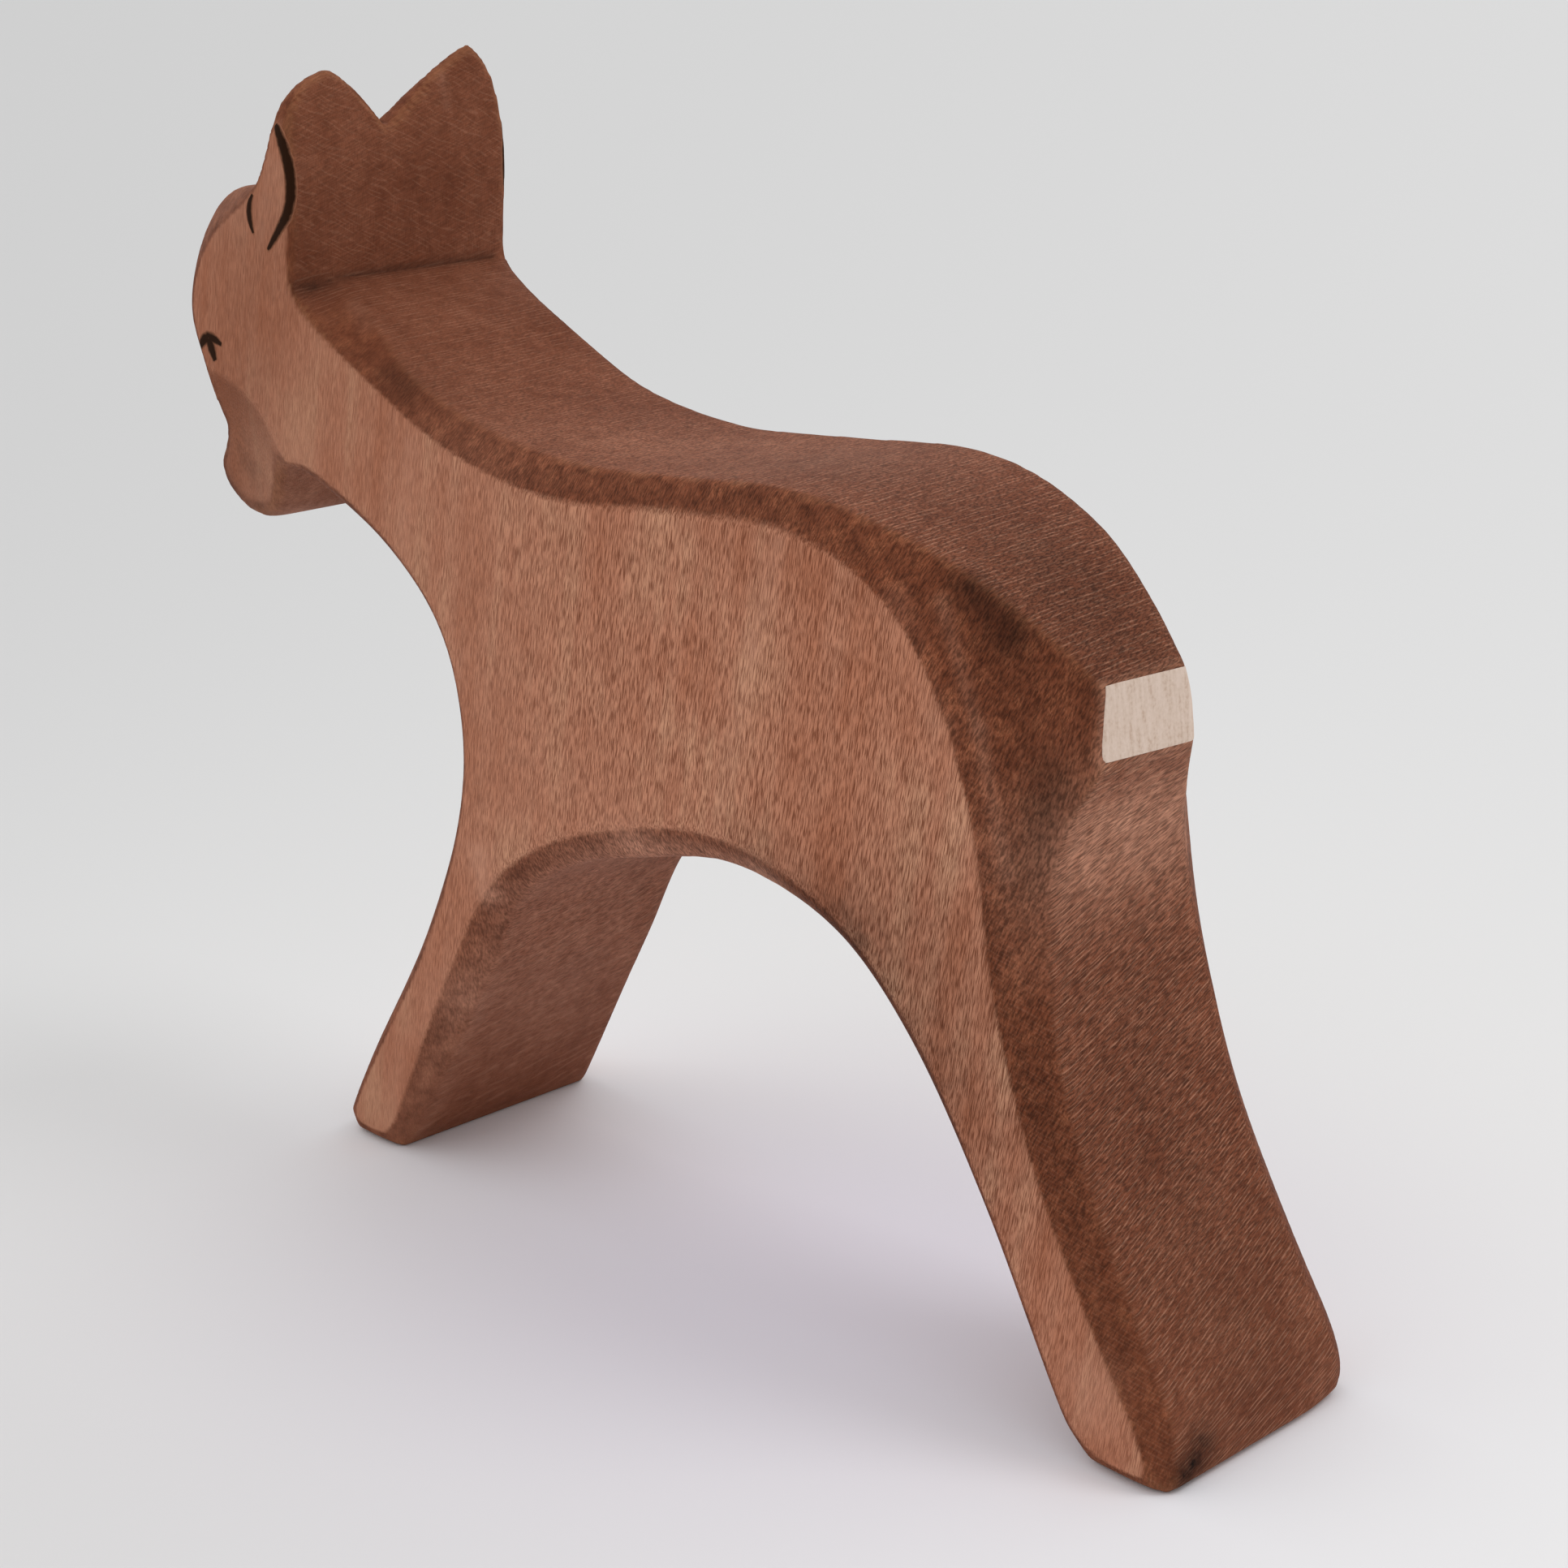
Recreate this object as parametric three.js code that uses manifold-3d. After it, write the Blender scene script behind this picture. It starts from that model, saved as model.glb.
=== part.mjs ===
// A hand-carved wooden deer: one plank-cut body with knife-cut edges and a few thin painted marks.
// Millimetres, +Z up. The head looks along -X, the plank's thickness lies along Y,
// and the soles stand on Z = 0.

import * as THREE from "three";
import { mergeVertices } from "three/addons/utils/BufferGeometryUtils.js";
import Module from "manifold-3d";

const wasm = await Module();
wasm.setup();

// Driving dimensions: the length runs from the brow to the hind heel
const FIGURE_LENGTH = 118.2;
const PLANK_THICKNESS = 25;
const NECK_SAG = 0.6;
const SANDED_EDGE = 0.35;
const SANDED_SHARE_LIMIT = 0.25;
const STATION_SPACING = 1.5;
const KNIFE_LINE_EVENING = 4.5;

// Ears in front view: heights above their root, and how far each tip and the notch stand from the middle
const EAR_ROOT_HEIGHT = 88.3;
const LEFT_EAR_HEIGHT = 10.2;
const LEFT_EAR_TIP_OFFSET = 6.8;
const LEFT_EAR_SHOULDER = 5;
const RIGHT_EAR_HEIGHT = 11.5;
const RIGHT_EAR_TIP_OFFSET = 8.9;
const RIGHT_EAR_SHOULDER = 4;
const NOTCH_HEIGHT = 4.7;
const NOTCH_OFFSET = 1.1;
const EAR_OUTER_ROUNDING = 0.8;
const EAR_INNER_ROUNDING = 1;
const EAR_BLANK_SPARE = 0.6;

// The muzzle is pared down on both sides in a shallow cone, whose tip lies before the chin and just above it
const MUZZLE_TIP_FORWARD = 2.8;
const MUZZLE_TIP_RISE = 0.3;
const MUZZLE_PARED_RADIUS = 13.2;
const MUZZLE_PARED_DEPTH = 4;

// Facets of curves
const ROUND_SEGMENTS = 64;
const CURVE_SEGMENTS = 12;

// Paint layers
const PAINT_CLEARANCE = 0.03;
const PAINT_THICKNESS = 0.08;

const HALF_THICKNESS = PLANK_THICKNESS / 2;
const BROW_X = -59.2;
const HEEL_X = BROW_X + FIGURE_LENGTH;
const earLevel = (height) => EAR_ROOT_HEIGHT + height;
const EAR_BLANK_TOP = earLevel(Math.max(LEFT_EAR_HEIGHT, RIGHT_EAR_HEIGHT)) + EAR_BLANK_SPARE;

// A landmark of the side view: its place, how far in on the side face the knife line runs,
// and how deep the same cut reaches into the sawn edge on the left and on the right
const landmark = (x, z, inset, depth, rightDepth = depth) => ({ x, z, inset, depth, rightDepth });

// The hindquarters are drawn forwards from the hind heel, and the head up and down from the root of the ears
const hindMark = (forward, z, inset, depth) => landmark(HEEL_X - forward, z, inset, depth);
const headPoint = (x, rise) => [x, earLevel(rise)];
const headMark = (x, rise, ...cut) => landmark(...headPoint(x, rise), ...cut);
const earTipMark = (x, inset) => landmark(x, EAR_BLANK_TOP, inset, inset);

// The trunk is drawn between a landmark of the forequarters and one of the hindquarters
const trunkMark = (fore, hind, share, z, inset, depth) => {
  return landmark(fore.x + (hind.x - fore.x) * share, z, inset, depth);
};

// Corners of the side view
const neckCrease = headMark(-41.9, -8.2, 0.9, 5.8, 0.6);
const earBackFoot = headMark(-41.88, -7.9, 0.5, 0.4);
const rumpTop = hindMark(14.2, 58.9, 8.6, 7.6);
const rumpFoot = hindMark(13.4, 52.8, 8, 7);
const hindHeel = hindMark(0, 0.6, 1.2, 1.7);
const hindSoleBack = hindMark(0.7, 0, 0.9, 1.2);
const hindSoleFront = hindMark(7.8, 0, 0.9, 1.2);
const hindToe = hindMark(10.4, 1.9, 1.2, 1.5);
const foreHeel = landmark(-30.7, 1.8, 1.4, 1.6);
const foreSoleBack = landmark(-32.1, 0, 0.9, 1);
const foreSoleFront = landmark(-38.7, 0, 0.9, 1);
const foreToe = landmark(-40, 1.6, 1.2, 1.3);
const throat = headMark(-44.1, -24.5, 0.9, 0.9);
const earFrontRoot = headMark(-46.8, 0, 0.6, 0.6);
const earTipFront = earTipMark(-43, 0.3);
const earTipBack = earTipMark(-42.1, 0.3);

// The neck hangs a little between the head and the shoulders
const nape = headMark(-34.4, -11.2, 2.3, 3.4, 2.4);
const neckBase = landmark(-20.4, 70.7, 2.4, 2);
const neck = landmark(-27.4, (nape.z + neckBase.z) / 2 - NECK_SAG, 2.1, 1.8);

// Landmarks that the trunk hangs between
const withers = landmark(-8.4, 69, 3, 1.8);
const hip = hindMark(34.1, 69.7, 3, 1.8);
const girth = landmark(-9, 33, 2.3, 2.2);
const flank = hindMark(35.8, 35.4, 2.6, 2.2);

// The side view runs once round the figure: each run is a smooth curve, and the runs meet in the corners
const neckAndBack = {
  neckCrease,
  nape,
  neck,
  neckBase,
  withers,
  midBack: trunkMark(withers, hip, 0.372, 69.6, 2.8, 1.2),
  loin: trunkMark(withers, hip, 0.781, 70.6, 3.1, 1.3),
  hip,
  croup: hindMark(25.1, 66.6, 4.5, 3.7),
  tailhead: hindMark(18.6, 62.5, 7.3, 5.9),
  rumpTop,
};
const rump = { rumpTop, rumpMiddle: hindMark(13.9, 55.9, 8.4, 6.8), rumpFoot };
const hindLegBack = {
  rumpFoot,
  buttock: hindMark(15.2, 48.2, 4.7, 5.3),
  thigh: hindMark(15.9, 43.6, 3, 4.4),
  gaskin: hindMark(15.1, 37.5, 2.8, 3.6),
  hock: hindMark(13.3, 30.2, 2.5, 2.9),
  cannon: hindMark(10.5, 22.5, 2.3, 2.9),
  fetlock: hindMark(3.8, 10, 1.9, 2.7),
  pastern: hindMark(1, 5, 1.5, 2.3),
  hindHeel,
};
const bellyArch = {
  hindToe,
  hindShin: hindMark(14.6, 8.6, 1.8, 1.8),
  stifle: hindMark(19.5, 17.1, 2, 2),
  thighFront: hindMark(28, 29, 2.3, 2.1),
  flank,
  archTop: trunkMark(girth, flank, 0.634, 38.1, 2.9, 2.3),
  belly: trunkMark(girth, flank, 0.301, 36.1, 2.9, 2.3),
  girth,
  elbow: landmark(-15.4, 28.4, 2.1, 2.2),
  forearm: landmark(-21, 18.6, 2.4, 2.2),
  foreHeel,
};
const chestAndNeck = {
  foreToe,
  foreShin: landmark(-36.4, 8.5, 1.5, 1.5),
  foreKnee: landmark(-27.8, 22.9, 1.7, 1.7),
  brisket: landmark(-22.6, 35.7, 1.8, 1.8),
  chest: landmark(-21.8, 43.4, 1.8, 1.8),
  shoulderPoint: landmark(-24.1, 51.4, 1.8, 1.8),
  neckFront: landmark(-30.5, 57.3, 1.7, 1.7),
  underNeck: headMark(-38.3, -26.9, 1.4, 1.4),
  throat,
};
const face = {
  throat,
  jaw: headMark(-46, -25.7, 0.9, 0.9),
  chinBack: headMark(-49.2, -30.3, 0.9, 0.9),
  chin: headMark(-53, -30.6, 0.9, 0.9),
  chinFront: headMark(-56.8, -28.9, 0.9, 0.9),
  lip: headMark(-57.6, -26.6, 0.9, 0.9),
  mouth: headMark(-55.5, -23.4, 0.9, 0.9),
  nose: headMark(-56.1, -18.5, 1.2, 1.2),
  brow: headMark(BROW_X, -12.7, 1.8, 1.5),
  forehead: headMark(-57.4, -5.8, 2.3, 1.8),
  crown: headMark(-53.8, -1.3, 3, 2.3),
  earFrontRoot,
};
const earFront = {
  earFrontRoot,
  earFrontLow: headMark(-45.6, 2.3, 0.4, 0.4),
  earFrontHigh: headMark(-44.2, 5.3, 0.3, 0.3),
  earTipFront,
};
const earBack = {
  earTipBack,
  earBackHigh: headMark(-41.2, 1.2, 0.3, 0.3),
  earBackLow: headMark(-41.6, -4.8, 0.8, 0.4),
  earBackFoot,
};
const OUTLINE = [
  neckAndBack,
  rump,
  hindLegBack,
  { hindHeel, hindSoleBack },
  { hindSoleBack, hindSoleFront },
  { hindSoleFront, hindToe },
  bellyArch,
  { foreHeel, foreSoleBack },
  { foreSoleBack, foreSoleFront },
  { foreSoleFront, foreToe },
  chestAndNeck,
  face,
  earFront,
  { earTipFront, earTipBack },
  earBack,
  { earBackFoot, neckCrease },
];

// Painted strokes on the side faces: where each begins and ends, and the middle of its two edges, in X and Z
const EAR_LINE = {
  start: headPoint(-43.3, 5.5),
  end: headPoint(-44.9, -5.4),
  edges: [headPoint(-41.7, 0.4), headPoint(-43, 0.2)],
};
const EAR_FRONT_LINE = {
  start: headPoint(-46.9, -1.1),
  end: headPoint(-47.1, -4.1),
  edges: [headPoint(-47.8, -2.5), headPoint(-46.9, -2.6)],
};
const EYE_LID = {
  start: headPoint(-56.1, -15.9),
  end: headPoint(-52.5, -15.3),
  edges: [headPoint(-54.5, -14.1), headPoint(-54.4, -15.3)],
};
const EYE_LASH = {
  start: headPoint(-54.9, -14.7),
  end: headPoint(-53.6, -16.9),
  edges: [headPoint(-54.8, -16), headPoint(-53.7, -15.6)],
};

const WOOD = new THREE.MeshStandardMaterial({ color: 0x8a5a44, roughness: 0.6, metalness: 0 });
const WHITE_GLAZE = new THREE.MeshStandardMaterial({ color: 0xc6b1a5, roughness: 0.7, metalness: 0 });
const DARK_PAINT = new THREE.MeshStandardMaterial({ color: 0x2e1e16, roughness: 0.6, metalness: 0 });

// Stations along one run of the outline, without its last one, each with its inset and depth
function stationsAlong(run) {
  const marks = Object.values(run);
  const places = marks.map((mark) => new THREE.Vector3(mark.x, 0, mark.z));
  const cuts = marks.map((mark) => new THREE.Vector3(mark.inset, mark.depth, mark.rightDepth));
  const path = new THREE.CatmullRomCurve3(places, false, "centripetal");
  const cutPath = new THREE.CatmullRomCurve3(cuts);
  const steps = Math.max(1, Math.round(path.getLength() / STATION_SPACING));
  return Array.from({ length: steps }, (_, i) => {
    const t = path.getUtoTmapping(i / steps);
    const place = path.getPoint(t);
    const cut = cutPath.getPoint(t);
    return { x: place.x, z: place.z, inset: cut.x, depth: cut.y, rightDepth: cut.z };
  });
}

// The inward normal at a station, taken over as long a stretch as the cut is wide
function inwardNormal(stations, index) {
  const count = stations.length;
  const reach = 1 + Math.ceil(stations[index].inset / STATION_SPACING);
  const before = stations[(index - reach + count) % count];
  const after = stations[(index + reach) % count];
  return new THREE.Vector2(after.z - before.z, before.x - after.x).normalize();
}

// The knife line on the side face: the outline moved inwards by each station's inset,
// with its kinks evened out
function knifeLine(stations) {
  const count = stations.length;
  const window = Math.round(KNIFE_LINE_EVENING / STATION_SPACING);
  const moved = stations.map(({ x, z, inset }, i) => {
    return new THREE.Vector2(x, z).addScaledVector(inwardNormal(stations, i), inset);
  });
  return moved.map((_, i) => {
    const mean = new THREE.Vector2();
    let total = 0;
    for (let k = -window; k <= window; k += 1) {
      const weight = window + 1 - Math.abs(k);
      mean.addScaledVector(moved[(i + k + count) % count], weight);
      total += weight;
    }
    return mean.divideScalar(total);
  });
}

// The edge's section at a station: from the right side face over its knife cut,
// across the sawn edge and up to the left side face
function edgeSection({ x, z, depth, rightDepth }, knife) {
  const inset = new THREE.Vector2(knife.x - x, knife.y - z);
  const point = (scale, y) => [x + inset.x * scale, y, z + inset.y * scale];
  const half = (side, cutDepth) => {
    const cutLength = Math.hypot(inset.length(), cutDepth);
    const sanded = Math.min(SANDED_EDGE, cutLength * SANDED_SHARE_LIMIT);
    const share = sanded / cutLength;
    return [
      point(1 + sanded / inset.length(), side * HALF_THICKNESS),
      point(1 - share, side * (HALF_THICKNESS - cutDepth * share)),
      point(share, side * (HALF_THICKNESS - cutDepth * (1 - share))),
      point(0, side * (HALF_THICKNESS - cutDepth - sanded)),
    ];
  };
  return [...half(1, rightDepth), ...half(-1, depth).reverse()];
}

// The sawn and chamfered blank: a ring of sections round the outline, closed by the two flat side faces
function chamferedBlank() {
  const stations = OUTLINE.flatMap(stationsAlong);
  const count = stations.length;
  const knife = knifeLine(stations);
  const sections = stations.map((station, i) => edgeSection(station, knife[i]));
  const size = sections[0].length;
  const last = size - 1;
  const indices = [];
  for (let i = 0; i < count; i += 1) {
    const next = (i + 1) % count;
    for (let k = 0; k < last; k += 1) {
      const a = i * size + k;
      const b = next * size + k;
      indices.push(a, b + 1, b, a, a + 1, b + 1);
    }
  }
  const sideFace = sections.map((section) => new THREE.Vector2(section[0][0], section[0][2]));
  for (const [a, b, c] of THREE.ShapeUtils.triangulateShape(sideFace, [])) {
    indices.push(a * size, c * size, b * size);
    indices.push(a * size + last, b * size + last, c * size + last);
  }
  const geometry = new THREE.BufferGeometry();
  geometry.setAttribute("position", new THREE.Float32BufferAttribute(sections.flat(2), 3));
  geometry.setIndex(indices);
  return geometry;
}

// A prism with the ears' front view, wider than the plank below them and longer than the whole figure
function earPrism({ min, max }) {
  const wide = PLANK_THICKNESS;
  const length = max.x - min.x + 2 * wide;
  const rightTip = [RIGHT_EAR_TIP_OFFSET, earLevel(RIGHT_EAR_HEIGHT)];
  const leftTip = [-LEFT_EAR_TIP_OFFSET, earLevel(LEFT_EAR_HEIGHT)];
  const notch = [-NOTCH_OFFSET, earLevel(NOTCH_HEIGHT)];
  const rightShoulder = [HALF_THICKNESS, earLevel(RIGHT_EAR_SHOULDER)];
  const leftShoulder = [-HALF_THICKNESS, earLevel(LEFT_EAR_SHOULDER)];
  const outer = ([y], [, tipHeight]) => {
    return [y - Math.sign(y) * EAR_OUTER_ROUNDING, tipHeight - EAR_OUTER_ROUNDING];
  };
  const inner = (tip) => [(tip[0] + notch[0]) / 2, (tip[1] + notch[1]) / 2 + EAR_INNER_ROUNDING];
  const shape = new THREE.Shape();
  shape.moveTo(-wide, -wide);
  shape.lineTo(wide, -wide);
  shape.lineTo(wide, rightShoulder[1] - wide);
  shape.lineTo(...rightShoulder);
  shape.quadraticCurveTo(...outer(rightShoulder, rightTip), ...rightTip);
  shape.quadraticCurveTo(...inner(rightTip), ...notch);
  shape.quadraticCurveTo(...inner(leftTip), ...leftTip);
  shape.quadraticCurveTo(...outer(leftShoulder, leftTip), ...leftShoulder);
  shape.lineTo(-wide, leftShoulder[1] - wide);
  const prism = new THREE.ExtrudeGeometry(shape, {
    depth: length,
    bevelEnabled: false,
    curveSegments: CURVE_SEGMENTS,
  });
  prism.translate(0, 0, min.x - wide);
  // The shape's own axes become Y and Z, and its depth becomes X
  const across = new THREE.Vector3(0, 1, 0);
  const upward = new THREE.Vector3(0, 0, 1);
  const along = new THREE.Vector3(1, 0, 0);
  return prism.applyMatrix4(new THREE.Matrix4().makeBasis(across, upward, along));
}

// The cone that pares one side of the muzzle: side is -1 for the animal's left and 1 for its right
function muzzleCone(side) {
  // The cone goes on past the side face, so that it cuts clean
  const spread = 1.5;
  const clearOfFace = HALF_THICKNESS + MUZZLE_PARED_DEPTH * (spread - 1);
  const profile = [
    new THREE.Vector2(0, HALF_THICKNESS - MUZZLE_PARED_DEPTH),
    new THREE.Vector2(MUZZLE_PARED_RADIUS * spread, clearOfFace),
    new THREE.Vector2(0, clearOfFace),
  ];
  const cone = new THREE.LatheGeometry(profile, ROUND_SEGMENTS);
  if (side < 0) {
    cone.rotateX(Math.PI);
  }
  return cone.translate(face.chin.x - MUZZLE_TIP_FORWARD, 0, face.chin.z + MUZZLE_TIP_RISE);
}

// A closed solid for cutting and joining, with shared vertices merged
function toSolid(geometry) {
  geometry.deleteAttribute("normal");
  geometry.deleteAttribute("uv");
  const merged = mergeVertices(geometry);
  const mesh = new wasm.Mesh({
    numProp: 3,
    vertProperties: new Float32Array(merged.attributes.position.array),
    triVerts: new Uint32Array(merged.index.array),
  });
  return new wasm.Manifold(mesh);
}

function toGeometry(solid) {
  const mesh = solid.getMesh();
  const geometry = new THREE.BufferGeometry();
  geometry.setAttribute("position", new THREE.BufferAttribute(mesh.vertProperties, 3));
  geometry.setIndex(new THREE.BufferAttribute(mesh.triVerts, 1));
  geometry.computeVertexNormals();
  return geometry;
}

function carvedBody() {
  const blank = chamferedBlank();
  blank.computeBoundingBox();
  const eared = toSolid(blank).intersect(toSolid(earPrism(blank.boundingBox)));
  const pared = eared.subtract(toSolid(muzzleCone(-1))).subtract(toSolid(muzzleCone(1)));
  return toGeometry(pared);
}

// One brush stroke as a plate that stands on its outline in the X-Z plane, thick towards -Y
function strokePlate({ start, end, edges }) {
  const control = ([x, z]) => [2 * x - (start[0] + end[0]) / 2, 2 * z - (start[1] + end[1]) / 2];
  const shape = new THREE.Shape();
  shape.moveTo(...start);
  shape.quadraticCurveTo(...control(edges[0]), ...end);
  shape.quadraticCurveTo(...control(edges[1]), ...start);
  const plate = new THREE.ExtrudeGeometry(shape, {
    depth: PAINT_THICKNESS,
    bevelEnabled: false,
    curveSegments: CURVE_SEGMENTS,
  });
  return plate.rotateX(Math.PI / 2);
}

// A painted mark on one side face, made of one or more strokes that run together
function sideMark(strokes, side) {
  const plates = strokes.map((stroke) => toSolid(strokePlate(stroke)));
  const mark = toGeometry(plates.reduce((joined, plate) => joined.add(plate)));
  const inner = HALF_THICKNESS + PAINT_CLEARANCE;
  return mark.translate(0, side < 0 ? -inner : inner + PAINT_THICKNESS, 0);
}

// The glaze on the flat of the rump: a thin strip that follows the sawn edge from knife cut to knife cut
function rumpGlaze() {
  const rows = [...stationsAlong(rump), rumpFoot];
  const outward = new THREE.Vector2(rumpTop.z - rumpFoot.z, rumpFoot.x - rumpTop.x).normalize();
  const corner = (row, lift, side) => [
    row.x + outward.x * lift,
    side * (HALF_THICKNESS - row.depth),
    row.z + outward.y * lift,
  ];
  const inside = PAINT_CLEARANCE;
  const outside = PAINT_CLEARANCE + PAINT_THICKNESS;
  const ring = (row) => [
    corner(row, inside, -1),
    corner(row, inside, 1),
    corner(row, outside, 1),
    corner(row, outside, -1),
  ];
  const size = 4;
  const indices = [];
  for (let i = 0; i + 1 < rows.length; i += 1) {
    for (let k = 0; k < size; k += 1) {
      const a = i * size + k;
      const b = i * size + ((k + 1) % size);
      indices.push(a, b + size, a + size, a, b, b + size);
    }
  }
  const end = (rows.length - 1) * size;
  indices.push(0, 2, 1, 0, 3, 2, end, end + 1, end + 2, end, end + 2, end + 3);
  const geometry = new THREE.BufferGeometry();
  geometry.setAttribute("position", new THREE.Float32BufferAttribute(rows.flatMap(ring).flat(), 3));
  geometry.setIndex(indices);
  geometry.computeVertexNormals();
  return geometry;
}

function named(name, geometry, material) {
  const mesh = new THREE.Mesh(geometry, material);
  mesh.name = name;
  return mesh;
}

const figure = new THREE.Group();
const body = carvedBody();
figure.add(named("carved_body", body, WOOD));
figure.add(named("rump_patch", rumpGlaze(), WHITE_GLAZE));
for (const [word, side] of [["left", -1], ["right", 1]]) {
  figure.add(named(`ear_line_${word}`, sideMark([EAR_LINE], side), DARK_PAINT));
  figure.add(named(`ear_front_line_${word}`, sideMark([EAR_FRONT_LINE], side), DARK_PAINT));
  figure.add(named(`eye_${word}`, sideMark([EYE_LID, EYE_LASH], side), DARK_PAINT));
}

// The origin lies under the middle of the figure's length
body.computeBoundingBox();
figure.position.x = -(body.boundingBox.min.x + body.boundingBox.max.x) / 2;

export default figure;
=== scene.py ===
"""Looks of the carved wooden deer: its stained wood, painted marks, pale floor and soft light.

Places and sizes are written in mm and turned into metres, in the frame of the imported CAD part: the
head looks along -X, the plank's thickness lies along Y with the animal's left side towards -Y, and
the soles stand on Z = 0.
"""

import math

import bmesh
import bpy
import numpy as np
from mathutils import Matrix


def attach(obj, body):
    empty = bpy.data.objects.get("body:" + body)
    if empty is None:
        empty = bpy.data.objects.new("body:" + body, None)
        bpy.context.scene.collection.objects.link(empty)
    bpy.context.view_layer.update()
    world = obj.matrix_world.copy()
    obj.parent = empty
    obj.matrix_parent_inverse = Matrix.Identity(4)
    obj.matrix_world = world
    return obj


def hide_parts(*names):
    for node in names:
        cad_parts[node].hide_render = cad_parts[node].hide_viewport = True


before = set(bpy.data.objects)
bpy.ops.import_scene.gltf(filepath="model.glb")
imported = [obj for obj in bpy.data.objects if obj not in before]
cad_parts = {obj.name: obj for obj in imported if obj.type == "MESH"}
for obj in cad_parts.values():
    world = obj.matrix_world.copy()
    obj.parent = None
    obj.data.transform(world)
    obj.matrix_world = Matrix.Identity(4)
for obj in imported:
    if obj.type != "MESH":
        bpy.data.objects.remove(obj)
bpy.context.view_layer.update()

MM = 0.001

# Photograph's camera: lens on a 36 mm sensor, place, pitch below level, turn about Z and near clip
CAMERA_LENS = 72.283
CAMERA_PLACE = (184.8, -179.8, 121.5)
CAMERA_PITCH = 17.476
CAMERA_TURN = 44.654
CAMERA_NEAR = 10

# Even skin of the carved body: octree depth and scale give faces about 0.43 mm wide
SKIN_OCTREE_DEPTH = 8
SKIN_SCALE = 0.965
MERGE_DISTANCE = 0.002

# Sanding: rounds over all edges, and more rounds where the figure is handled or rubbed most
SANDING_STRENGTH = 0.5
SANDING_ROUNDS = 3
MUZZLE_ROUNDS = 22
EAR_TIP_ROUNDS = 7
ARCH_ROUNDS = 10
HEEL_ROUNDS = 30

# Zones along X and up Z are pairs of places: none at the first, full at the second
MUZZLE_ALONG, MUZZLE_UP = (-43, -47), (68, 64)
EAR_TIP_UP = (84, 90)
ARCH_UP, ARCH_FRONT, ARCH_BACK = (46, 42), (-22, -16), (40, 34)

# Worn corner of the right heel: a short stretch across it and its reach
HEEL_INNER, HEEL_OUTER = (59.5, 10.5, 0.5), (59.5, 12.0, 0.5)
HEEL_REACH = 2.5

# Chin: a stretch across it where the sanded muzzle stays full, its reach and how far it swells
CHIN_LEFT, CHIN_RIGHT = (-54.5, -8.5, 59.5), (-54.5, 8.5, 59.5)
CHIN_REACH = 4.5
CHIN_SWELL = 1.1

# Bend of the skin over one face, in mm, that starts to count as a hollow or a ridge, and that counts in
# full; and how much of the sanding a hollow is spared
HOLLOW_BEND = (0.02, 0.07)
RIDGE_BEND = (0.02, 0.08)
HOLLOW_SPARED = 2

# Height of the arris round the soles, painted lighter both as rubbed wear and as a painted highlight
SOLE_ARRIS = 1.2

# How squarely a surface looks sideways, from 0 to 1, where planed side, knife cut and sawn edge meet
PLANED_FACING = (0.93, 0.985)
SAWN_FACING = (0.15, 0.5)

# Zones of the sawn edge with fibres of their own: backs of the hind legs, and backs of the ears, where
# the wood also has to look back
HIND_LEG_ALONG, HIND_LEG_UP = (20, 24), (50, 44)
EAR_BACK_ALONG, EAR_BACK_UP, EAR_BACK_FACING = (-30, -34), (80, 82), (0.2, 0.5)

# Saw lines: a share of full at the head, rising along X, and only on faces that look up or back
SAW_LINES_AT_HEAD = 0.42
SAW_LINES_ALONG = (-25, 50)
SAW_LINES_FACING = (0.0, 0.5)

# Knife lines: from none at the first height to full at the second, on the hind legs
KNIFE_LINES_UP = (60, 45)

# How roughly the cuts tore the grain: a share of full at the head, rising along X, and a share of full
# at the feet, rising up Z
TORN_AT_HEAD = 0.35
TORN_ALONG = (-40, 0)
TORN_AT_FEET = 0.55
TORN_UP = (4, 26)
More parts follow.
